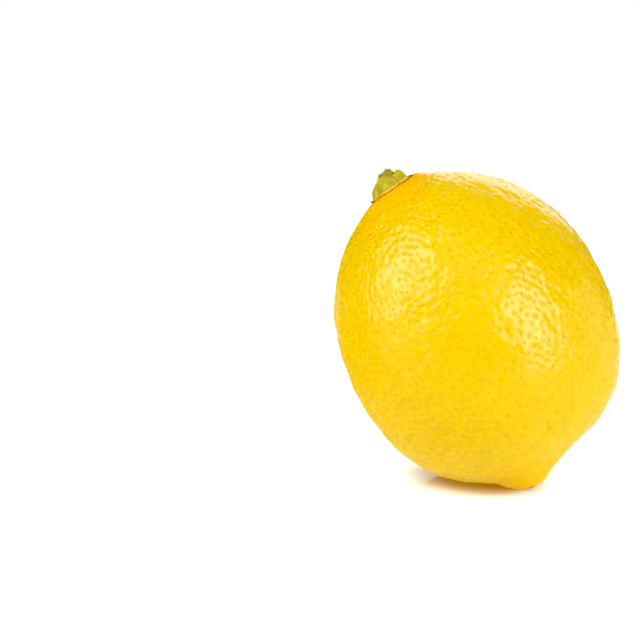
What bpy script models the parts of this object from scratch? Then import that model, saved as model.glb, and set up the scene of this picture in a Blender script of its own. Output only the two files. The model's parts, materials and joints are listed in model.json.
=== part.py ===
"""A whole picked lemon: the fruit, its green calyx and the cut stub of its stem.

The fruit stands tipped on its blossom end, on a small flat spot of its low side and the
underside of its nipple.  Metres, +Z up, the surface it rests on is z = 0, and the origin
is at the bottom centre of its box.

Each piece is shaped in the fruit's own frame: the middle of the body is at the origin, the
stem end points to +Z and the blossom end to -Z.  The parent empty then sets the stance.
"""
import math

import bmesh
import bpy
from mathutils import Matrix, Vector, noise

# The body of the fruit
BODY_RADIUS = 0.0301        # half its width across the axis
STEM_HALF = 0.0358          # from the widest circle up to the shoulder at the stem end
BLOSSOM_HALF = 0.0330       # from the widest circle down to the blossom end, without the nipple
STEM_FULLNESS = 0.02        # how much rounder than an ellipse each half is
BLOSSOM_FULLNESS = 0.22
END_OFFSET = 0.0053         # both ends sit this far off the middle line, towards -X
LOBE_COUNTS = (2, 3, 5)     # the faint flats and ribs of a grown fruit, seen end on
LOBE_DEPTHS = (0.0022, 0.0040, 0.0028)
LOBE_TURNS = (0.6, 2.1, 4.0)

# The nipple at the blossom end: a knob on a broad, low shoulder
SHOULDER_HEIGHT = 0.0014
SHOULDER_RADIUS = 0.0083
KNOB_HEIGHT = 0.0033
KNOB_RADIUS = 0.0053
KNOB_FALL = 3.0             # 2 is a pointed knob, more a blunt one
FURROW_DEPTH = 0.0003       # of the faint ring round the knob
FURROW_RADIUS = 0.0064
FURROW_WIDTH = 0.0016
SCAR_DEPTH = 0.0004         # the pit where the flower's style fell off
SCAR_RADIUS = 0.0010

# Soft swellings: middle across the axis (x, y), height and reach.  The first carries the
# calyx, the second is the shoulder beside it, and the third a faint flat behind that.
STEM_SWELLINGS = (
    (-0.0053, 0.0, 0.0010, 0.0065),
    (-0.0011, -0.0046, 0.0007, 0.0032),
    (0.0070, -0.0140, -0.0005, 0.0085),
)
NIPPLE_FLANK = (0.0, -0.0037, 0.0008, 0.0036)

# The pebbled skin
RELIEF_DEPTH = 0.00028
RELIEF_LENGTH = 0.0042      # from one swelling to the next
RELIEF_START = Vector((3.1, 7.7, 1.9))
SMOOTH_RADIUS = 0.0066      # the skin is smooth this far round the stem
SKIN_SEGMENTS = 92
SKIN_RINGS = 52
END_CROWDING = 0.55         # how much closer the rings lie at the two ends

# The calyx, which lies on the stem end: five thick sepals round a knob, with dry pointed tips
TOUCH_GAP = 0.0003
SEPALS = 5
SEPAL_REACH = 0.0046        # from the stem to the end of a sepal's thick part
NOTCH_DEPTH = 0.0006        # how far the edge draws in between two sepals
SEPAL_HEIGHTS = (0.0024, 0.0021, 0.0025, 0.0016, 0.0019)
GROOVE_DEPTH = 0.0005       # of the fold between two sepals
LOW_SIDE = math.radians(140)        # the side where the sepals spread furthest
BODY_REACH = 0.0038         # from the stem to where a sepal thins out, on the high side
BODY_SPREAD = 0.0011        # how much further that is on the low side
HUMP_TURN = math.radians(322)       # the one large fold, on the high side
HUMP_MIDDLE = 0.0033
HUMP_HEIGHT = 0.0009
HUMP_RADIUS = 0.0010
TIP_LENGTHS = (0.0014, 0.0007, 0.0010, 0.0003, 0.0008)
TIP_WIDTH = 0.17            # half the width of a dry tip, as a share of its sepal's
TIP_THICKNESS = 0.0005
CROWN_HEIGHT = 0.0020       # how far the knob stands above the sepals
CROWN_RADIUS = 0.0019
CROWN_NARROWING = 0.0001    # how much narrower the knob's top is on the low side
CROWN_FALL = 8              # how steeply the knob falls off on the high side
CROWN_EASE = 5              # and how much more gently on the low side
SOCKET_DEPTH = 0.0007
SOCKET_RADIUS = 0.0015
CALYX_SEGMENTS = 75
CALYX_RINGS = 20

# The stub of the stem, which stands in the calyx's socket
STUB_RADIUS = 0.00130
STUB_TOP = 0.0049           # above the skin
STUB_SLOPE = 0.40           # rise of the slanting cut across the stub
STUB_SEGMENTS = 24
STUB_RINGS = 10

# How the fruit stands
SPIN = math.radians(40)     # about its own axis
TILT = math.radians(24.2)   # stem end towards -X
LEAN = math.radians(17)     # stem end towards +Y
REST_DEPTH = 0.0005         # what the flat spot takes off the roundest place


def smooth_step(low, high, value):
    """0 below low, 1 above high, and a smooth rise between them."""
    t = min(max((value - low) / (high - low), 0.0), 1.0)
    return t * t * (3 - 2 * t)


def swelling_height(x, y, swelling):
    """Height of one soft swelling, at a place across the axis."""
    middle_x, middle_y, height, reach = swelling
    return height * math.exp(-((x - middle_x) ** 2 + (y - middle_y) ** 2) / reach ** 2)


def body_height(x, y):
    """Height of the stem half's surface above the widest circle, at a place across the axis."""
    reach = min((x * x + y * y) / BODY_RADIUS ** 2, 1.0)
    height = STEM_HALF * math.sqrt(1 - reach) * (1 + STEM_FULLNESS * reach)
    return height + sum(swelling_height(x, y, swelling) for swelling in STEM_SWELLINGS)


def stem_axis():
    """The direction in which the skin faces under the stem."""
    step = BODY_RADIUS / 100
    rise = body_height(step - END_OFFSET, 0.0) - body_height(-step - END_OFFSET, 0.0)
    return Vector((-rise, 0.0, 2 * step)).normalized()


STEM_AXIS = stem_axis()


def nipple_height(from_tip):
    """How far the nipple stands out of the blossom end, at a distance from its middle."""
    shoulder = SHOULDER_HEIGHT * math.exp(-(from_tip / SHOULDER_RADIUS) ** 2)
    knob = KNOB_HEIGHT / (1 + (from_tip / KNOB_RADIUS) ** KNOB_FALL)
    furrow = FURROW_DEPTH * math.exp(-((from_tip - FURROW_RADIUS) / FURROW_WIDTH) ** 2)
    scar = SCAR_DEPTH * math.exp(-(from_tip / SCAR_RADIUS) ** 2)
    return shoulder + knob - furrow - scar


def skin_point(direction):
    """The point of the skin that a unit sphere's point becomes."""
    polar = math.acos(max(-1.0, min(1.0, direction.z)))
    polar -= END_CROWDING * math.sin(2 * polar) / 2
    around = math.atan2(direction.y, direction.x)
    ray = Vector((
        math.sin(polar) * math.cos(around) - END_OFFSET / BODY_RADIUS,
        math.sin(polar) * math.sin(around),
        math.cos(polar),
    )).normalized()
    reach = ray.x ** 2 + ray.y ** 2
    turn = math.atan2(ray.y, ray.x)
    lobes = sum(
        depth * math.cos(count * turn + start)
        for count, depth, start in zip(LOBE_COUNTS, LOBE_DEPTHS, LOBE_TURNS)
    )
    radius = BODY_RADIUS * (1 + lobes * reach)
    point = Vector((radius * ray.x, radius * ray.y, 0.0))
    from_axis = math.hypot(point.x + END_OFFSET, point.y)
    relief = 1.0
    if ray.z > 0:
        point.z = body_height(BODY_RADIUS * ray.x, BODY_RADIUS * ray.y)
        relief = smooth_step(SMOOTH_RADIUS, 2 * SMOOTH_RADIUS, from_axis)
    else:
        point.z = BLOSSOM_HALF * ray.z * (1 + BLOSSOM_FULLNESS * reach)
        point.z -= nipple_height(from_axis) + swelling_height(point.x, point.y, NIPPLE_FLANK)
    outward = Vector((ray.x / BODY_RADIUS, ray.y / BODY_RADIUS, ray.z / STEM_HALF)).normalized()
    pebble = noise.noise(point / RELIEF_LENGTH + RELIEF_START)
    return point + outward * (RELIEF_DEPTH * relief * pebble)


def over_stem_end(from_stem, around, lift):
    """The point that stands lift above the bare skin, at a place round the stem."""
    x = from_stem * math.cos(around) - END_OFFSET
    y = from_stem * math.sin(around)
    return Vector((x, y, body_height(x, y))) + lift * STEM_AXIS


def sepal_place(around):
    """Which sepal a direction falls on, and how far from its middle: 0, to 1 at the notch."""
    place = around / math.tau * SEPALS
    number = math.floor(place + 0.5)
    return number % SEPALS, 2 * abs(place - number)


def sepal_edge(around):
    """From the stem to the end of the sepals' thick part."""
    return SEPAL_REACH - NOTCH_DEPTH * sepal_place(around)[1] ** 2


def calyx_reach(around):
    """From the stem to the calyx's edge, dry tips included."""
    number, from_middle = sepal_place(around)
    tip = TIP_LENGTHS[number] * max(0.0, 1 - from_middle / (2 * TIP_WIDTH)) ** 0.8
    return sepal_edge(around) + tip


def calyx_thickness(from_stem, around):
    """Thickness of the calyx at a place round the stem."""
    number, from_middle = sepal_place(around)
    low_side = 0.5 + 0.5 * math.cos(around - LOW_SIDE)
    along = min(from_stem / (BODY_REACH + BODY_SPREAD * low_side), 1.0)
    mean = sum(SEPAL_HEIGHTS) / SEPALS
    height = mean + (SEPAL_HEIGHTS[number] - mean) * (1 - from_middle ** 2) * along
    from_hump = math.hypot(
        from_stem * math.cos(around) - HUMP_MIDDLE * math.cos(HUMP_TURN),
        from_stem * math.sin(around) - HUMP_MIDDLE * math.sin(HUMP_TURN),
    )
    height += HUMP_HEIGHT * math.exp(-(from_hump / HUMP_RADIUS) ** 2)
    groove = GROOVE_DEPTH * from_middle ** 3 * smooth_step(0.35, 0.8, along)
    sepals = (height - groove - TIP_THICKNESS) * math.sqrt(1 - along ** 6)
    crown_radius = CROWN_RADIUS - CROWN_NARROWING * low_side
    crown = CROWN_HEIGHT / (1 + (from_stem / crown_radius) ** (CROWN_FALL - CROWN_EASE * low_side))
    socket = SOCKET_DEPTH * (1 - smooth_step(0.85 * SOCKET_RADIUS, 1.15 * SOCKET_RADIUS, from_stem))
    return TIP_THICKNESS + sepals + crown - socket


def calyx_point(direction):
    """The point of the calyx that a unit sphere's point becomes."""
    around = math.atan2(direction.y, direction.x)
    share = math.hypot(direction.x, direction.y)
    from_stem = share * calyx_reach(around)
    edge = math.sqrt(max(0.0, 1 - share ** 8))
    middle = TIP_THICKNESS / 2
    if direction.z > 0:
        lift = middle + (calyx_thickness(from_stem, around) - middle) * edge
    else:
        lift = middle * (1 - edge)
    return over_stem_end(from_stem, around, TOUCH_GAP + lift)


def stub_point(direction):
    """The point of the stem's stub that a unit sphere's point becomes."""
    around = math.atan2(direction.y, direction.x)
    across = math.hypot(direction.x, direction.y)
    squareness = (across ** 6 + abs(direction.z) ** 6) ** (-1 / 6)
    from_stem = STUB_RADIUS * across * squareness * (1 + 0.06 * math.cos(3 * around + 0.5))
    share = 0.5 + 0.5 * direction.z * squareness
    bottom = TOUCH_GAP + calyx_thickness(0.0, 0.0) + TOUCH_GAP
    slope = STUB_SLOPE * from_stem * math.cos(around) * share
    return over_stem_end(from_stem, around, bottom + (STUB_TOP - bottom) * share + slope)


def plain_material(name, color, roughness):
    material = bpy.data.materials.new(name)
    material.use_nodes = True
    shader = material.node_tree.nodes["Principled BSDF"]
    shader.inputs["Base Color"].default_value = (*color, 1.0)
    shader.inputs["Roughness"].default_value = roughness
    shader.inputs["Metallic"].default_value = 0.0
    return material


def shaped_sphere(name, segments, rings, point_of, material, collection, parent):
    """A sphere whose points are moved by a formula, as one closed body."""
    shape = bmesh.new()
    bmesh.ops.create_uvsphere(shape, u_segments=segments, v_segments=rings, radius=1.0)
    for vertex in shape.verts:
        vertex.co = point_of(vertex.co.normalized())
    bmesh.ops.recalc_face_normals(shape, faces=shape.faces)
    mesh = bpy.data.meshes.new(name)
    shape.to_mesh(mesh)
    shape.free()
    mesh.shade_smooth()
    mesh.materials.append(material)
    piece = bpy.data.objects.new(name, mesh)
    collection.objects.link(piece)
    piece.parent = parent
    return piece


def add_ground_cutter(fruit, collection):
    """Cuts the fruit off at z = 0, which leaves the flat spot that it rests on."""
    shape = bmesh.new()
    bmesh.ops.create_cube(shape, size=4 * BODY_RADIUS)
    mesh = bpy.data.meshes.new("ground_cutter")
    shape.to_mesh(mesh)
    shape.free()
    cutter = bpy.data.objects.new("ground_cutter", mesh)
    cutter.location.z = -2 * BODY_RADIUS
    cutter.hide_render = True
    cutter.display_type = "WIRE"
    collection.objects.link(cutter)
    cut = fruit.modifiers.new("flat_spot", "BOOLEAN")
    cut.operation = "DIFFERENCE"
    cut.solver = "EXACT"
    cut.object = cutter


def set_stance(stance, pieces):
    """Tips the fruit over and puts the bottom centre of its box at the origin."""
    turn = (
        Matrix.Rotation(-LEAN, 4, "X")
        @ Matrix.Rotation(-TILT, 4, "Y")
        @ Matrix.Rotation(SPIN, 4, "Z")
    )
    points = [turn @ vertex.co for piece in pieces for vertex in piece.data.vertices]
    low = [min(point[axis] for point in points) for axis in range(3)]
    high = [max(point[axis] for point in points) for axis in range(3)]
    stance.rotation_euler = turn.to_euler()
    stance.location = (
        -(low[0] + high[0]) / 2,
        -(low[1] + high[1]) / 2,
        -low[2] - REST_DEPTH,
    )


def build_lemon():
    for old in list(bpy.data.objects):
        bpy.data.objects.remove(old, do_unlink=True)
    lemon = bpy.data.collections.new("lemon")
    cutters = bpy.data.collections.new("cutters")
    for collection in (lemon, cutters):
        bpy.context.scene.collection.children.link(collection)
    stance = bpy.data.objects.new("stance", None)
    lemon.objects.link(stance)
    fruit = shaped_sphere(
        "fruit", SKIN_SEGMENTS, SKIN_RINGS, skin_point,
        plain_material("peel", (0.93, 0.62, 0.015), 0.38), lemon, stance,
    )
    calyx = shaped_sphere(
        "calyx", CALYX_SEGMENTS, CALYX_RINGS, calyx_point,
        plain_material("calyx_green", (0.26, 0.29, 0.05), 0.65), lemon, stance,
    )
    stub = shaped_sphere(
        "stem_stub", STUB_SEGMENTS, STUB_RINGS, stub_point,
        plain_material("cut_stem", (0.62, 0.56, 0.50), 0.80), lemon, stance,
    )
    set_stance(stance, (fruit, calyx, stub))
    add_ground_cutter(fruit, cutters)


build_lemon()
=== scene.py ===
"""Looks of a picked lemon: fine skin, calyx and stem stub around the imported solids.

Every place and size is in metres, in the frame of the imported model, +Z up.
"""
import json
import math

import bmesh
import bpy
import numpy as np
from mathutils import Matrix, Vector, kdtree, noise

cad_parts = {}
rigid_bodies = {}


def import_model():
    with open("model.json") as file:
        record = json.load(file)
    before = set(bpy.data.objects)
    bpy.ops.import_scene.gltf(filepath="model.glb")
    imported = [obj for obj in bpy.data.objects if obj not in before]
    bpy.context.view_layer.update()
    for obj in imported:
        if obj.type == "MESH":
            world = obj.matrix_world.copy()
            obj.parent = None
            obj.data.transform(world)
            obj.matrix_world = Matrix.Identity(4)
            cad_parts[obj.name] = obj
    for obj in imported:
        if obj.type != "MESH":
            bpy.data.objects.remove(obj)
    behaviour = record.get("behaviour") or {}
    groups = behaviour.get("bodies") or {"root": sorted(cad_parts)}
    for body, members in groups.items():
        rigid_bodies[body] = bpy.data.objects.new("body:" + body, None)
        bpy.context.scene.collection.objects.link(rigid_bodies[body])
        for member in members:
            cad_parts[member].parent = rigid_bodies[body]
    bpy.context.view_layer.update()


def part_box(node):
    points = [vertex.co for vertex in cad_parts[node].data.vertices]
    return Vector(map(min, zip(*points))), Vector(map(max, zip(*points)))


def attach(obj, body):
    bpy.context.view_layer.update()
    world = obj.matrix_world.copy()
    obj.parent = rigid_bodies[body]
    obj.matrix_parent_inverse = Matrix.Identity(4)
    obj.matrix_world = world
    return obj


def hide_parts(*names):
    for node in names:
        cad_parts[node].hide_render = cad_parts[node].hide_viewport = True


for old in list(bpy.data.objects):
    bpy.data.objects.remove(old, do_unlink=True)
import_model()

# ---------------------------------------------------------------- the fruit
# One grown body: a thick waxy peel over the flesh, drawn out to a nipple at the blossom end.
# Oil glands lie close under the peel, and over each one the skin dips into a small pit.
# Its lowest side is pressed flat where it rests.

BODY_RADIUS = 0.0301
STEM_HALF, BLOSSOM_HALF = 0.0358, 0.0330      # from the widest circle to each end
STEM_FULLNESS, BLOSSOM_FULLNESS = 0.02, 0.22
END_OFFSET = 0.0053                           # from the body's axis to the line of its ends
LOBES = ((2, 0.0022, 0.6), (3, 0.0040, 2.1), (5, 0.0028, 4.0))      # count, depth, turn

SHOULDER_HEIGHT, SHOULDER_RADIUS = 0.0014, 0.0083
KNOB_HEIGHT, KNOB_RADIUS, KNOB_FALL = 0.0033, 0.0053, 3.0
FURROW_DEPTH, FURROW_RADIUS, FURROW_WIDTH = 0.0003, 0.0064, 0.0016
SCAR_DEPTH, SCAR_RADIUS = 0.0004, 0.0010
STEM_SWELLINGS = ((-0.0053, 0.0, 0.0010, 0.0065), (-0.0011, -0.0046, 0.0007, 0.0032),
                  (0.0070, -0.0140, -0.0005, 0.0085))       # across, across, height, reach
NIPPLE_FLANK = (0.0, -0.0037, 0.0008, 0.0036)

RELIEF_DEPTH, RELIEF_LENGTH = 0.00028, 0.0042
RIPPLE_DEPTH, RIPPLE_LENGTH = 0.00013, 0.0016
RELIEF_START = Vector((3.1, 7.7, 1.9))
SMOOTH_RADIUS = 0.0066
RELIEF_EASE = (SMOOTH_RADIUS, 2 * SMOOTH_RADIUS)            # round the stem

SPIN, TILT, LEAN = (math.radians(degrees) for degrees in (40, 24.2, 17))

SKIN_CUTS = 127
END_CROWDING = 0.25

PIT_SEED = 7
PIT_COUNT = 2900
PIT_DEPTH, PIT_RADIUS = 0.00013, 0.00110
PIT_SIZES = (0.65, 1.2)                       # smallest and largest, as shares of these
PIT_PUSHES, PIT_PUSH, PIT_NEIGHBOURS = 5, 0.4, 6
PITS_COMPARED = 4
PIT_EASE = (0.9 * SMOOTH_RADIUS, 2.1 * SMOOTH_RADIUS)       # round the stem
TIP_PITS, TIP_EASE = 0.4, (0.006, 0.020)      # share of their depth at the nipple's tip


def smooth_step(low, high, value):
    t = np.clip((value - low) / (high - low), 0.0, 1.0)
    return t * t * (3 - 2 * t)


def unit(vectors):
    return vectors / np.linalg.norm(vectors, axis=1)[:, None]


def swelling_height(x, y, swelling):
    """Height of one soft swelling of the body, at a place across its axis."""
    middle_x, middle_y, height, reach = swelling
    return height * np.exp(-((x - middle_x) ** 2 + (y - middle_y) ** 2) / reach ** 2)


def body_height(x, y):
    """Height of the stem half above the widest circle."""
    reach = np.minimum((x * x + y * y) / BODY_RADIUS ** 2, 1.0)
    height = STEM_HALF * np.sqrt(1 - reach) * (1 + STEM_FULLNESS * reach)
    return height + sum(swelling_height(x, y, swelling) for swelling in STEM_SWELLINGS)


def nipple_height(from_tip):
    """How far the nipple stands out of the blossom end."""
    shoulder = SHOULDER_HEIGHT * np.exp(-(from_tip / SHOULDER_RADIUS) ** 2)
    knob = KNOB_HEIGHT / (1 + (from_tip / KNOB_RADIUS) ** KNOB_FALL)
    furrow = FURROW_DEPTH * np.exp(-((from_tip - FURROW_RADIUS) / FURROW_WIDTH) ** 2)
    scar = SCAR_DEPTH * np.exp(-(from_tip / SCAR_RADIUS) ** 2)
    return shoulder + knob - furrow - scar


def pebbling(points, length, start):
    """Smooth noise between -1 and 1, with one swelling in each length."""
    return np.array([noise.noise(Vector(point) / length + start) for point in points])


def skin(directions, crowding):
    """Points of the skin for unit directions, the way it faces there, and its distance from
    the line between the two ends.  Crowding draws the points towards the ends."""
    polar = np.arccos(np.clip(directions[:, 2], -1, 1))
    polar = polar - crowding * np.sin(2 * polar) / 2
    around = np.arctan2(directions[:, 1], directions[:, 0])
    ray = unit(np.stack((np.sin(polar) * np.cos(around) - END_OFFSET / BODY_RADIUS,
                         np.sin(polar) * np.sin(around), np.cos(polar)), axis=1))
    reach = ray[:, 0] ** 2 + ray[:, 1] ** 2
    turn = np.arctan2(ray[:, 1], ray[:, 0])
    lobes = sum(depth * np.cos(count * turn + start) for count, depth, start in LOBES)
    radius = BODY_RADIUS * (1 + lobes * reach)
    x, y = radius * ray[:, 0], radius * ray[:, 1]
    from_axis = np.hypot(x + END_OFFSET, y)
    blossom = BLOSSOM_HALF * ray[:, 2] * (1 + BLOSSOM_FULLNESS * reach) - nipple_height(from_axis)
    blossom -= swelling_height(x, y, NIPPLE_FLANK)
    stem = body_height(BODY_RADIUS * ray[:, 0], BODY_RADIUS * ray[:, 1])
    stem_side = ray[:, 2] > 0
    points = np.stack((x, y, np.where(stem_side, stem, blossom)), axis=1)
    outward = unit(ray / np.array((BODY_RADIUS, BODY_RADIUS, STEM_HALF)))
    relief = np.where(stem_side, smooth_step(*RELIEF_EASE, from_axis), 1.0)
    lift = RELIEF_DEPTH * relief * pebbling(points, RELIEF_LENGTH, RELIEF_START)
    lift += RIPPLE_DEPTH * relief * pebbling(points, RIPPLE_LENGTH, -RELIEF_START)
    return points + outward * lift[:, None], outward, from_axis


def ball(name, cuts):
    """A round mesh object with an even net of four-sided faces, and its points' directions."""
    builder = bmesh.new()
    bmesh.ops.create_cube(builder, size=2.0)
    bmesh.ops.subdivide_edges(builder, edges=builder.edges[:], cuts=cuts, use_grid_fill=True)
    mesh = bpy.data.meshes.new(name)
    builder.to_mesh(mesh)
    builder.free()
    mesh.shade_smooth()
    piece = bpy.data.objects.new(name, mesh)
    bpy.context.scene.collection.objects.link(piece)
    corners = np.empty(len(mesh.vertices) * 3)
    mesh.vertices.foreach_get("co", corners)
    return piece, unit(np.tan(corners.reshape(-1, 3) * math.pi / 4))


def shape(piece, points):
    """Moves a mesh object's points."""
    piece.data.vertices.foreach_set("co", np.ascontiguousarray(points, dtype=np.float32).ravel())
    piece.data.update()


def mark(piece, name, kind, values):
    """Keeps a value of every point on the mesh, for its material to read."""
    layer = piece.data.attributes.new(name, kind, "POINT")
    field = "vector" if kind == "FLOAT_VECTOR" else "value"
    layer.data.foreach_set(field, np.ascontiguousarray(values, dtype=np.float32).ravel())


def nearest_tree(places):
    tree = kdtree.KDTree(len(places))
    for number, place in enumerate(places):
        tree.insert(place, number)
    tree.balance()
    return tree


def pit_centres(chance):
    """Places of the pits: thrown on the skin at random, then pushed off their neighbours."""
    spots = unit(chance.normal(size=(PIT_COUNT, 3)))
    spacing = math.sqrt(4 * math.pi / PIT_COUNT)
    for _ in range(PIT_PUSHES):
        tree = nearest_tree(spots)
        pushed = spots.copy()
        for number, spot in enumerate(spots):
            for other, _, distance in tree.find_n(spot, PIT_NEIGHBOURS + 1)[1:]:
                crowded = max(spacing - distance, 0.0)
                pushed[number] += (spot - other) / distance * crowded * PIT_PUSH
        spots = unit(pushed)
    return skin(spots, 0.0)[0]


chance = np.random.default_rng(PIT_SEED)
peel, directions = ball("peel", SKIN_CUTS)
points, outward, from_axis = skin(directions, END_CROWDING)
pits = pit_centres(chance)
pit_sizes = chance.uniform(*PIT_SIZES, PIT_COUNT)
tree = nearest_tree(pits)
near = np.array([[pit for _, pit, _ in tree.find_n(point, PITS_COMPARED)] for point in points])
apart = np.linalg.norm(points[:, None] - pits[near], axis=2) / pit_sizes[near]
nearest = near[np.arange(len(points)), apart.argmin(1)]
from_pit = (points - pits[nearest]) / (PIT_RADIUS * pit_sizes[nearest])[:, None]
pit_reach = np.linalg.norm(from_pit, axis=1)
dip = PIT_DEPTH * pit_sizes[nearest] * (1 - smooth_step(0.0, 1.0, pit_reach))
smooth_stem = smooth_step(*PIT_EASE, from_axis)
smooth_tip = TIP_PITS + (1 - TIP_PITS) * smooth_step(*TIP_EASE, from_axis)
dip *= np.where(points[:, 2] > 0, smooth_stem, smooth_tip)
points = points - outward * dip[:, None]

stance = (Matrix.Rotation(-LEAN, 4, "X") @ Matrix.Rotation(-TILT, 4, "Y")
          @ Matrix.Rotation(SPIN, 4, "Z"))
turned = points @ np.array(stance.to_3x3()).T
solid_low, solid_high = (np.array(corner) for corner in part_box("fruit"))
shift = (solid_low + solid_high - turned.min(0) - turned.max(0)) / 2
shift[2] = solid_high[2] - turned[:, 2].max()
stance = Matrix.Translation(Vector(shift)) @ stance
placed = turned + shift
placed[:, 2] = np.maximum(placed[:, 2], solid_low[2])

shape(peel, placed)
mark(peel, "from_pit", "FLOAT_VECTOR", from_pit)
mark(peel, "pit_reach", "FLOAT", pit_reach)
mark(peel, "blossom_end", "FLOAT", np.where(points[:, 2] < 0, from_axis, 1.0))
mark(peel, "stem_end", "FLOAT", np.where(points[:, 2] > 0, from_axis, 1.0))


class Value:
    """A number on a surface.  Sums and products of it add Math nodes to its material."""

    def __init__(self, finish, socket):
        self.finish, self.socket = finish, socket

    def reckon(self, operation, *numbers):
        settings = {"operation": operation}
        return self.finish.add("ShaderNodeMath", settings, dict(enumerate(numbers)))

    def __add__(self, other):
        return self.reckon("ADD", self, other)

    def __sub__(self, other):
        return self.reckon("SUBTRACT", self, other)

    def __rsub__(self, other):
        return self.reckon("SUBTRACT", other, self)

    def __mul__(self, other):
        return self.reckon("MULTIPLY", self, other)

    __radd__, __rmul__ = __add__, __mul__

    def step(self, low, high):
        """0 below low, 1 above high, and a smooth rise between them."""
        return self.finish.add("ShaderNodeMapRange", {"interpolation_type": "SMOOTHSTEP"},
                               {"Value": self, "From Min": low, "From Max": high})

    def fade(self, low, high):
        """1 below low, 0 above high, and a smooth fall between them."""
        return 1 - self.step(low, high)

    def at_least(self, least):
        """Turns a range from 0 to 1 into one from least to 1."""
        return least + self * (1 - least)


class Finish:
    """The nodes of one material, or of the room."""

    def __init__(self, holder, surface="Principled BSDF"):
        holder.use_nodes = True
        self.holder = holder
        self.nodes, self.links = holder.node_tree.nodes, holder.node_tree.links
        self.surface = self.nodes[surface]

    def add(self, kind, settings, inputs, output=0):
        """One node: its settings, then the values or links of its sockets."""
        node = self.nodes.new(kind)
        for name, setting in settings.items():
            setattr(node, name, setting)
        self.fill(node, inputs)
        return Value(self, node.outputs[output])

    def fill(self, node, inputs):
        for name, value in inputs.items():
            if isinstance(value, Value):
                self.links.new(value.socket, node.inputs[name])
            else:
                node.inputs[name].default_value = value

    def marked(self, name, output="Fac"):
        return self.add("ShaderNodeAttribute", {"attribute_name": name}, {}, output)

    def place(self):
        return self.add("ShaderNodeTexCoord", {}, {}, "Object")

    def seen(self):
        """1 where the camera looks straight at it, and 0 where it only lights other things."""
        return self.add("ShaderNodeLightPath", {}, {}, "Is Camera Ray")

    def grain(self, length, detail=2.0, roughness=0.5):
        """Noise between 0 and 1 with one swelling in each length."""
        return self.add("ShaderNodeTexNoise", {},
                        {"Vector": self.place(), "Scale": 1 / length, "Detail": detail,
                         "Roughness": roughness})

    def blend(self, share, first, second):
        """A colour between two colours.  A Mix node takes them by its sockets 6 and 7, and
        gives their mix by its output 2."""
        first, second = (color if isinstance(color, Value) else (*color, 1.0)
                         for color in (first, second))
        return self.add("ShaderNodeMix", {"data_type": "RGBA"},
                        {0: share, 6: first, 7: second}, 2)

    def bump(self, height, depth):
        return self.add("ShaderNodeBump", {},
                        {"Height": height, "Distance": depth, "Strength": 1.0})


YELLOW, CLOUD_YELLOW = (0.670, 0.460, 0.0065), (0.675, 0.472, 0.007)
MOTTLE_YELLOW = (0.680, 0.488, 0.0075)
BLOSSOM_YELLOW, TIP_YELLOW = (0.65, 0.475, 0.0085), (0.69, 0.43, 0.0075)
# Round the stem: the peel's own orange tint, and painted light that makes it brighter.
STEM_TINT_AND_LIGHT = (0.93, 0.475, 0.004)
SPECK_OCHRE, PIT_OCHRE = (0.51, 0.33, 0.0), (0.50, 0.34, 0.0)
# Painted shadow in orange and brown, in a thin ring just under the calyx's edge.
SHADE_ORANGE, CALYX_SHADOW_BROWN = (0.60, 0.26, 0.0), (0.36, 0.15, 0.005)
SCAR_BROWN = (0.16, 0.075, 0.02)
CLOUD_LENGTH, MOTTLE_LENGTH, FINE_LENGTH = 0.013, 0.0017, 0.00035
SPECK_SPACING = 0.00070
PEEL_BUMP = 0.00007


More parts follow.
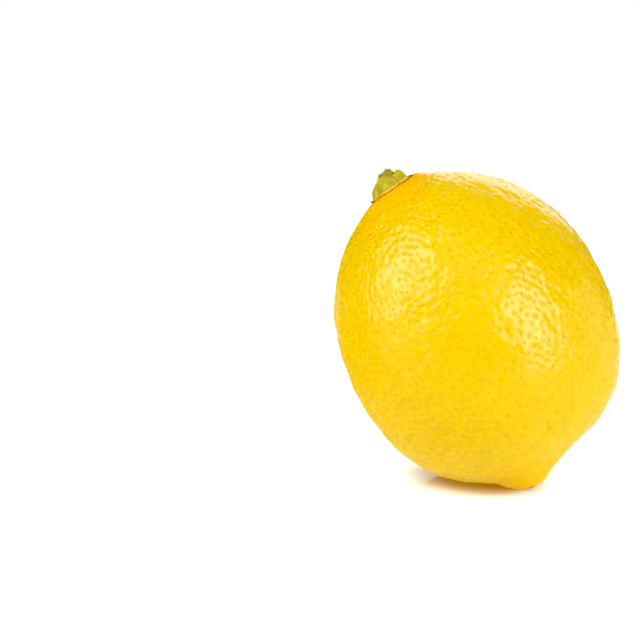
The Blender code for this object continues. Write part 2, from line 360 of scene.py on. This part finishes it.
def peel_finish():
    """Waxy yellow peel, deeper at both ends, and painted brighter round the stem.  Its darker
    pits and fine specks fade towards the ends, a painted shadow turns it orange and brown under
    the calyx's edge, and the nipple's tip has a small dark scar."""
    finish = Finish(bpy.data.materials.new("lemon_peel"))
    stem_end, blossom_end = finish.marked("stem_end"), finish.marked("blossom_end")

    # On a face half way between two pits, the way from the nearest one turns round.  Its length
    # comes out too short there, but the distance doesn't, so that no pit is drawn.
    from_middle = finish.add("ShaderNodeVectorMath", {"operation": "LENGTH"},
                             {0: finish.marked("from_pit", "Vector")}, "Value")
    astray = (finish.marked("pit_reach") - from_middle).step(0.22, 0.34)
    in_pit = from_middle.fade(0.08, 0.58) * (1 - astray)
    in_pit = in_pit * stem_end.step(0.006, 0.014)
    in_pit = in_pit * blossom_end.step(0.006, 0.020).at_least(0.3)

    speck = finish.add("ShaderNodeTexVoronoi", {},
                       {"Vector": finish.place(), "Scale": 1 / SPECK_SPACING}, "Distance")
    speck = speck.fade(0.05, 0.43)
    plain = stem_end.step(0.004, 0.028).at_least(0.15)
    plain = plain * blossom_end.step(0.005, 0.022).at_least(0.25)
    cloud = finish.grain(CLOUD_LENGTH, 3.0)
    mottle = finish.grain(MOTTLE_LENGTH)
    yellow = finish.blend(cloud.step(0.35, 0.68), YELLOW, CLOUD_YELLOW)

    # Each colour lies over the ones before it, most of them within a distance of one end.
    for share, color in ((mottle.step(0.35, 0.7) * 0.4, MOTTLE_YELLOW),
                         (blossom_end.fade(0.012, 0.026), BLOSSOM_YELLOW),
                         (blossom_end.fade(0.002, 0.013) * 0.75, TIP_YELLOW),
                         # Real orange tint and painted light round the stem.
                         (stem_end.fade(0.004, 0.018) * 0.8, STEM_TINT_AND_LIGHT),
                         (speck * plain * 0.46, SPECK_OCHRE),
                         (in_pit * plain * 0.25, PIT_OCHRE),
                         # Painted shadow of the calyx's edge on the peel, orange and then brown.
                         (stem_end.fade(0.0056, 0.0066) * 0.7, SHADE_ORANGE),
                         (stem_end.fade(0.0053, 0.0060) * 0.7, CALYX_SHADOW_BROWN),
                         (blossom_end.fade(0.0004, 0.0012) * 0.9, SCAR_BROWN)):
        yellow = finish.blend(share, yellow, color)

    height = 1 - in_pit + finish.grain(FINE_LENGTH) * 0.05
    roughness = 0.27 + in_pit * 0.10 + (mottle - 0.5) * 0.10
    finish.fill(finish.surface, {
        "Base Color": yellow, "Roughness": roughness, "Normal": finish.bump(height, PEEL_BUMP),
        "Subsurface Weight": 0.6, "Subsurface Radius": (1.0, 0.55, 0.12),
        "Subsurface Scale": 0.0012, "IOR": 1.45, "Specular IOR Level": 0.50,
    })
    return finish.holder


peel.data.materials.append(peel_finish())
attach(peel, "root")
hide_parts("fruit")

# ---------------------------------------------------------------- the calyx
# The dried green star that held the fruit: five thick sepals grown together round a knob, with
# a papery margin and withered tips.  It sits round the stem, a hair deep in the skin.

SEPALS = 5
SEPAL_REACH, NOTCH_DEPTH, GROOVE_DEPTH = 0.0046, 0.0006, 0.0005
SEPAL_HEIGHTS = np.array((0.0024, 0.0021, 0.0025, 0.0016, 0.0019))
SEPAL_ROUNDING, RIM_ROUNDING = 6, 8
GROOVE_RUN = (0.35, 0.8)                      # shares of the way out: it starts, it is deep
# How much of the painted shade along the creases the grooves get.
GROOVE_SHADE = 0.8
LOW_SIDE = math.radians(140)
BODY_REACH, BODY_SPREAD = 0.0041, 0.0008
TIP_LENGTHS = np.array((0.0028, 0.0009, 0.0012, 0.0003, 0.0009))
TIP_WIDTH, TIP_THICKNESS, TIP_TAPER = 0.12, 0.00028, 0.8
TIP_CURL, CURLED_LENGTH, CURL_FROM = 0.0004, 0.0012, 0.9
WITHER_START, WITHER_FULL = -0.0001, 0.0004   # from a sepal's edge
WITHERING_TIPS = (0.0002, 0.0007)             # lengths: shorter ones stay green
CROWN_HEIGHT, CROWN_RADIUS, CROWN_NARROWING = 0.0020, 0.0019, 0.0003
CROWN_FALL, CROWN_EASE, CROWN_EDGE = 8, 5, 0.0004
SOCKET_DEPTH, SOCKET_RADIUS = 0.0007, 0.00145
SOCKET_WALL = (0.85 * SOCKET_RADIUS, 1.15 * SOCKET_RADIUS)
SUNK = 0.00006
MARGIN_WIDTH, MARGIN_RUFFLE = 0.00012, 0.5
MARGIN_WAVES = ((11, 1.0, 1.0), (17, 0.6, 2.5))      # count, height, turn
CREASE_DEPTH, CREASE_OFFSET, CREASE_WIDTH = 0.00050, 0.0004, 0.00028
CREASE_WAVER, CREASE_EASE = 0.1, 0.7
HUMPS = ((322, 0.0037, 0.0012, 0.0011), (262, 0.0032, 0.0002, 0.0006),
         (205, 0.0033, 0.0002, 0.0008))              # turn, from stem, height, width
LUMP_DEPTH, LUMP_LENGTH, LUMP_EASE = 0.00045, 0.0030, 0.0012
LUMPS = ((LUMP_LENGTH, 1.0, Vector((0.4, 5.2, 2.2))),
         (LUMP_LENGTH / 3, 0.25, Vector((7.4, 1.2, 3.2))))      # length, depth, start
CALYX_CUTS = 63
MILLIMETRE = 0.001

stem_step = BODY_RADIUS / 100
stem_rise = (body_height(stem_step - END_OFFSET, 0.0) - body_height(-stem_step - END_OFFSET, 0.0))
STEM_AXIS = unit(np.array(((-stem_rise, 0.0, 2 * stem_step),)))


def over_stem_end(x, y, lift):
    """Points that stand lift above the bare skin round the stem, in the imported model's frame."""
    x = x - END_OFFSET
    points = np.stack((x, y, body_height(x, y)), axis=1) + lift[:, None] * STEM_AXIS
    return points @ np.array(stance.to_3x3()).T + np.array(stance.translation)


def calyx_shape(directions):
    """Points of the calyx for unit directions, and what its colours follow."""
    around = np.arctan2(directions[:, 1], directions[:, 0])
    share = np.hypot(directions[:, 0], directions[:, 1])
    place = around / math.tau * SEPALS
    number = np.floor(place + 0.5)
    from_middle = 2 * np.abs(place - number)
    number = number.astype(int) % SEPALS

    # The outline: notches between the sepals, thin tips, and a wavy margin.
    wave = sum(rise * np.sin(count * around + turn) for count, rise, turn in MARGIN_WAVES)
    edge = SEPAL_REACH - NOTCH_DEPTH * from_middle ** 2
    tip = TIP_LENGTHS[number] * np.maximum(0.0, 1 - from_middle / (2 * TIP_WIDTH)) ** TIP_TAPER
    from_stem = share * (edge + tip + MARGIN_WIDTH * (1 + MARGIN_RUFFLE * wave))
    x, y = from_stem * np.cos(around), from_stem * np.sin(around)

    # The sepals' thick bodies, parted by grooves, with folds on three of them.
    low_side = 0.5 + 0.5 * np.cos(around - LOW_SIDE)
    along = np.minimum(from_stem / (BODY_REACH + BODY_SPREAD * low_side), 1.0)
    mean = SEPAL_HEIGHTS.mean()
    height = mean + (SEPAL_HEIGHTS[number] - mean) * (1 - from_middle ** 2) * along
    groove = GROOVE_DEPTH * from_middle ** 3 * smooth_step(*GROOVE_RUN, along)
    for turn, middle, hump, width in HUMPS:
        turn = math.radians(turn)
        gap = np.hypot(x - middle * math.cos(turn), y - middle * math.sin(turn))
        height = height + hump * np.exp(-(gap / width) ** 2)
    sepals = (height - groove - TIP_THICKNESS) * np.sqrt(1 - along ** SEPAL_ROUNDING)

    # The knob in the middle, with the stub's socket in it and a crease round it.
    crown_radius = CROWN_RADIUS - CROWN_NARROWING * low_side
    crown_fall = CROWN_FALL - CROWN_EASE * low_side
    crown = CROWN_HEIGHT / (1 + (from_stem / crown_radius) ** crown_fall)
    socket = SOCKET_DEPTH * (1 - smooth_step(*SOCKET_WALL, from_stem))
    from_crease = from_stem - crown_radius - CREASE_OFFSET * (1 + CREASE_WAVER * wave)
    crease = np.exp(-(from_crease / CREASE_WIDTH) ** 2)
    crease *= 1 - CREASE_EASE * low_side
    thickness = TIP_THICKNESS + sepals + crown - socket - CREASE_DEPTH * crease

    # Top and underside meet in a round rim, the top is lumpy, and long tips curl up.
    rim = np.sqrt(np.maximum(0.0, 1 - share ** RIM_ROUNDING))
    upper = TIP_THICKNESS / 2 + (thickness - TIP_THICKNESS / 2) * rim
    lower = TIP_THICKNESS / 4 * (1 - rim)
    top = directions[:, 2] > 0
    spots = np.stack((x, y, upper), axis=1)
    lumps = sum(depth * pebbling(spots, length, start) for length, depth, start in LUMPS)
    upper = upper + LUMP_DEPTH * lumps * smooth_step(0.0, LUMP_EASE, upper) * rim
    curl = TIP_CURL * smooth_step(0.0, 1.0, tip / CURLED_LENGTH)
    curl = curl * smooth_step(CURL_FROM, 1.0, share)
    lift = np.where(top, np.maximum(upper, TIP_THICKNESS / 4), lower) + curl

    withered = smooth_step(edge + WITHER_START, edge + WITHER_FULL, from_stem)
    withered *= smooth_step(*WITHERING_TIPS, tip)
    marks = {"lift": lift / MILLIMETRE,
             # The crease mark also carries the grooves, and the finish paints shade along it.
             "crease": crease + GROOVE_SHADE * groove / GROOVE_DEPTH,
             "knob": 1 - smooth_step(0.0, CROWN_EDGE, from_stem - crown_radius),
             "withered": withered}
    return over_stem_end(x, y, lift - SUNK), marks


calyx, directions = ball("calyx_green", CALYX_CUTS)
points, marks = calyx_shape(directions)
shape(calyx, points)
for name, values in marks.items():
    mark(calyx, name, "FLOAT", values)

OLIVE, LIGHT_OLIVE = (0.29, 0.275, 0.022), (0.47, 0.395, 0.030)
STREAK_OLIVE = (0.55, 0.46, 0.035)
KNOB_OLIVE, CREASE_SHADE_BROWN = (0.20, 0.165, 0.024), (0.24, 0.16, 0.012)
MARGIN_TAN, WITHERED_GREY = (0.80, 0.47, 0.09), (0.26, 0.21, 0.17)
PATCH_LENGTH, STREAK_LENGTH = 0.0014, 0.0004
CALYX_BUMP = 0.00025


def calyx_finish():
    """Dull olive green, darker on the knob, painted shade in brown along the creases and grooves,
    tan at the papery margin, and grey-brown on the withered tips."""
    finish = Finish(bpy.data.materials.new("calyx_skin"))
    patches = finish.grain(PATCH_LENGTH, 3.0)
    streaks = finish.grain(STREAK_LENGTH)
    lift = finish.marked("lift") + (patches - 0.5) * 0.5
    green = finish.blend(patches.step(0.35, 0.65), OLIVE, LIGHT_OLIVE)
    for share, color in ((streaks.step(0.45, 0.75) * 0.4, STREAK_OLIVE),
                         (finish.marked("knob") * 0.75, KNOB_OLIVE),
                         # Painted shade: brown along the creases and grooves.
                         (finish.marked("crease").step(0.3, 1.0) * 0.75, CREASE_SHADE_BROWN),
                         (lift.fade(0.20, 0.45), MARGIN_TAN),
                         (finish.marked("withered"), WITHERED_GREY)):
        green = finish.blend(share, green, color)
    normal = finish.bump(patches + streaks * 0.5, CALYX_BUMP)
    finish.fill(finish.surface, {"Base Color": green, "Roughness": 0.55 + streaks * 0.2,
                                 "Normal": normal, "Subsurface Weight": 0.15,
                                 "Subsurface Radius": (1.0, 0.7, 0.2), "Subsurface Scale": 0.0006,
                                 "Specular IOR Level": 0.3})
    return finish.holder


calyx.data.materials.append(calyx_finish())
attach(calyx, "root")
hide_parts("calyx")

# ---------------------------------------------------------------- the stem's stub
# What is left of the woody stem in the calyx's socket: bark round the side, and on top the
# pale torn fibres where it was broken off.

STUB_RADIUS, STUB_TOP, STUB_SLOPE, STUB_TAPER = 0.00130, 0.0048, 0.4, 0.20
STUB_ROOT = 0.0004
STUB_SQUARENESS = 6
STUB_RIBS = ((3, 0.06, 0.5), (13, 0.03, 0.0))        # count, depth, turn
STUB_CUTS = 31
FIBRE_DEPTH, FIBRE_WIDTH, FIBRE_START = 0.00035, 0.0005, Vector((2.0, 3.0, 4.0))
TORN_FROM = 0.8                                      # share of the stub's height


def stub_shape(directions):
    """Points of the stub for unit directions, and their share of its height."""
    around = np.arctan2(directions[:, 1], directions[:, 0])
    across, up = np.hypot(directions[:, 0], directions[:, 1]), directions[:, 2]
    squareness = across ** STUB_SQUARENESS + np.abs(up) ** STUB_SQUARENESS
    squareness = squareness ** (-1 / STUB_SQUARENESS)
    ribs = sum(depth * np.cos(count * around + turn) for count, depth, turn in STUB_RIBS)
    share = 0.5 + 0.5 * up * squareness
    from_stem = STUB_RADIUS * across * squareness * (1 + ribs) * (1 - STUB_TAPER * share)
    x, y = from_stem * np.cos(around), from_stem * np.sin(around)
    bottom = SEPAL_HEIGHTS.mean() + CROWN_HEIGHT - SOCKET_DEPTH - STUB_ROOT
    slope = STUB_SLOPE * from_stem * np.cos(around) * share
    spots = np.stack((x, y, np.zeros_like(x)), axis=1)
    torn = FIBRE_DEPTH * pebbling(spots, FIBRE_WIDTH, FIBRE_START)
    torn *= smooth_step(TORN_FROM, 1.0, share)
    lift = bottom + (STUB_TOP - bottom) * share + slope + torn
    return over_stem_end(x, y, lift), share


stub, directions = ball("stem_stub_cut", STUB_CUTS)
points, share = stub_shape(directions)
shape(stub, points)
mark(stub, "height", "FLOAT", share)

FIBRE_DARK, FIBRE_PALE, BARK = (0.82, 0.76, 0.82), (0.98, 0.93, 1.0), (0.38, 0.33, 0.20)
FIBRE_GRAIN, FIBRE_BUMP = 0.00025, 0.0002


def stub_finish():
    """Pale dry wood, a little pink, with darker fibres and grey-brown bark low down."""
    finish = Finish(bpy.data.materials.new("cut_wood"))
    fibres = finish.grain(FIBRE_GRAIN, 3.0, 0.7)
    wood = finish.blend(fibres.step(0.35, 0.7), FIBRE_DARK, FIBRE_PALE)
    wood = finish.blend(finish.marked("height").fade(0.2, 0.6), wood, BARK)
    finish.fill(finish.surface, {"Base Color": wood, "Roughness": 0.75 + fibres * 0.15,
                                 "Normal": finish.bump(fibres, FIBRE_BUMP)})
    return finish.holder


stub.data.materials.append(stub_finish())
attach(stub, "root")
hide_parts("stem_stub")

# ---------------------------------------------------------------- the floor
# A plain sheet of glossy white board under the fruit, far wider than the view.  To the camera
# it glows white all round, save for a painted shadow under the fruit, where the glow fades and
# the board turns brown.  Towards the fruit it gives off a warm glow, painted light for the light
# thrown back up at it, and a painted yellow spot left of the fruit tints the light from there.

FLOOR_HALF = 1.5
FLOOR_HEIGHT = -0.0001
# The two foci of the painted shadow's oval under the fruit.
SHADE_FRONT, SHADE_BACK = (0.0044, -0.0139, 0.0), (-0.0038, 0.0094, 0.0)
SHADE_BACK_PULL = 1.15
SHADE_REACH, SHADE_TONE_REACH = (0.030, 0.056), (0.028, 0.045)
NEAR_GLOW, NEAR_GLOW_REACH = (0.03, -0.07, 0.0), (0.05, 0.20)
FAR_GLOW, FAR_GLOW_REACH = (0.08, 0.32, 0.0), (0.10, 0.30)
# Place and reach of a yellow spot painted on the board, painted light for the fruit's left side.
PAINTED_YELLOW_SPOT, PAINTED_YELLOW_REACH = (-0.13, 0.08, 0.0), (0.06, 0.17)
BLACK, WHITE = (0.0, 0.0, 0.0), (1.0, 1.0, 1.0)
# Colours of the painted light the board gives off towards the fruit: near, between and far.
NEAR_PAINTED_GLOW, PAINTED_GLOW, FAR_PAINTED_GLOW = (0.55, 0.51, 0.18), (0.25, 0.23, 0.085), (0.92, 0.92, 0.80)
BOARD_TONE, PAINTED_YELLOW_TONE = (0.66, 0.60, 0.54), (0.60, 0.42, 0.03)
# Brown of the board inside the painted shadow.
SHADE_TONE = (0.57, 0.40, 0.325)

edges = (-FLOOR_HALF, FLOOR_HALF)
floor_mesh = bpy.data.meshes.new("floor")
floor_mesh.from_pydata([(x, y, FLOOR_HEIGHT) for y in edges for x in edges], [], [(0, 1, 3, 2)])
floor = bpy.data.objects.new("floor", floor_mesh)
bpy.context.scene.collection.objects.link(floor)
board = Finish(bpy.data.materials.new("white_board"))


def from_spot(spot):
    """Distance over the floor from one spot."""
    return board.add("ShaderNodeVectorMath", {"operation": "DISTANCE"},
                     {0: board.place(), 1: spot}, "Value")


spread = from_spot(SHADE_FRONT) + from_spot(SHADE_BACK) * SHADE_BACK_PULL
# Painted light: a warm glow from the board onto the fruit, strongest in front and far behind.
painted_glow = board.blend(from_spot(NEAR_GLOW).fade(*NEAR_GLOW_REACH), PAINTED_GLOW, NEAR_PAINTED_GLOW)
painted_glow = board.blend(from_spot(FAR_GLOW).fade(*FAR_GLOW_REACH), painted_glow, FAR_PAINTED_GLOW)
# Painted shadow: the white glow seen by the camera fades out under the fruit.
backdrop = board.blend(spread.step(*SHADE_REACH), BLACK, WHITE)
# Painted light: the board turns yellow left of the fruit, tinting the light it throws from there.
tone = board.blend(from_spot(PAINTED_YELLOW_SPOT).fade(*PAINTED_YELLOW_REACH), BOARD_TONE, PAINTED_YELLOW_TONE)
# Painted shadow: the board turns brown under the fruit.
tone = board.blend(spread.step(*SHADE_TONE_REACH), SHADE_TONE, tone)
board.fill(board.surface, {"Base Color": tone, "Roughness": 0.22, "Emission Strength": 1.0,
                           "Emission Color": board.blend(board.seen(), painted_glow, backdrop)})
floor.data.materials.append(board.holder)

# ---------------------------------------------------------------- light and camera
# Two soft boxes in front, left and right, weaker white cards behind, above and on the right, a
# yellow card low on the left, and a warm ceiling in a dim warm room.  The camera stands in
# front, a little above the fruit.

LEMON_MIDDLE = Vector((0.0, 0.0, 0.034))
WARM, LEMON_TINT = (1.0, 0.86, 0.25), (1.0, 0.94, 0.42)


def soft_box(name, direction, distance, width, height, radiance, tint=WHITE):
    """A soft light of even brightness that faces the middle of the fruit."""
    light = bpy.data.lights.new(name, "AREA")
    light.color = tint
    light.shape = "RECTANGLE"
    light.size, light.size_y = width, height
    light.energy = radiance * math.pi * width * height
    lamp = bpy.data.objects.new(name, light)
    lamp.location = LEMON_MIDDLE + Vector(direction).normalized() * distance
    lamp.rotation_euler = (lamp.location - LEMON_MIDDLE).to_track_quat("Z", "Y").to_euler()
    bpy.context.scene.collection.objects.link(lamp)


soft_box("left_box", (-0.79, -0.35, 0.58), 0.75, 0.48, 0.56, 5.5)
soft_box("right_box", (0.67, -0.69, 0.38), 0.75, 0.48, 0.50, 6.85)
soft_box("back_card", (0.25, 0.87, 0.47), 0.80, 0.46, 0.48, 2.0)
soft_box("top_card", (-0.02, -0.62, 0.78), 0.80, 0.45, 0.50, 0.8)
soft_box("right_card", (0.95, 0.28, 0.02), 0.80, 0.60, 0.60, 0.75)
soft_box("left_card", (-0.97, -0.25, -0.02), 0.60, 0.40, 0.40, 2.6, LEMON_TINT)
soft_box("ceiling", (-0.15, 0.10, 0.98), 0.90, 0.80, 0.80, 0.4, WARM)

ROOM_LIGHT = 0.24
BLACK_POINT = 0.0245
room = Finish(bpy.data.worlds.new("room"), "Background")
dim = tuple(ROOM_LIGHT * part for part in WARM)
room.fill(room.surface, {"Color": room.blend(room.seen(), dim, WHITE)})
bpy.context.scene.world = room.holder
develop = bpy.context.scene.view_settings
develop.view_transform = "Standard"
develop.use_curve_mapping = True
develop.curve_mapping.black_level = (BLACK_POINT, BLACK_POINT, BLACK_POINT)
develop.curve_mapping.update()

VIEW_PITCH = math.radians(9)
VIEW_DISTANCE = 0.5
AIM = Vector((-0.0346, 0.0, 0.0352))
LENS, SENSOR = 127, 36                        # millimetres

camera = bpy.data.objects.new("camera", bpy.data.cameras.new("camera"))
camera.data.lens = LENS
camera.data.sensor_width = SENSOR
camera.data.clip_start = 0.01
camera.location = AIM + VIEW_DISTANCE * Vector((0, -math.cos(VIEW_PITCH), math.sin(VIEW_PITCH)))
camera.rotation_euler = (math.radians(90) - VIEW_PITCH, 0, 0)
bpy.context.scene.collection.objects.link(camera)
bpy.context.scene.camera = camera
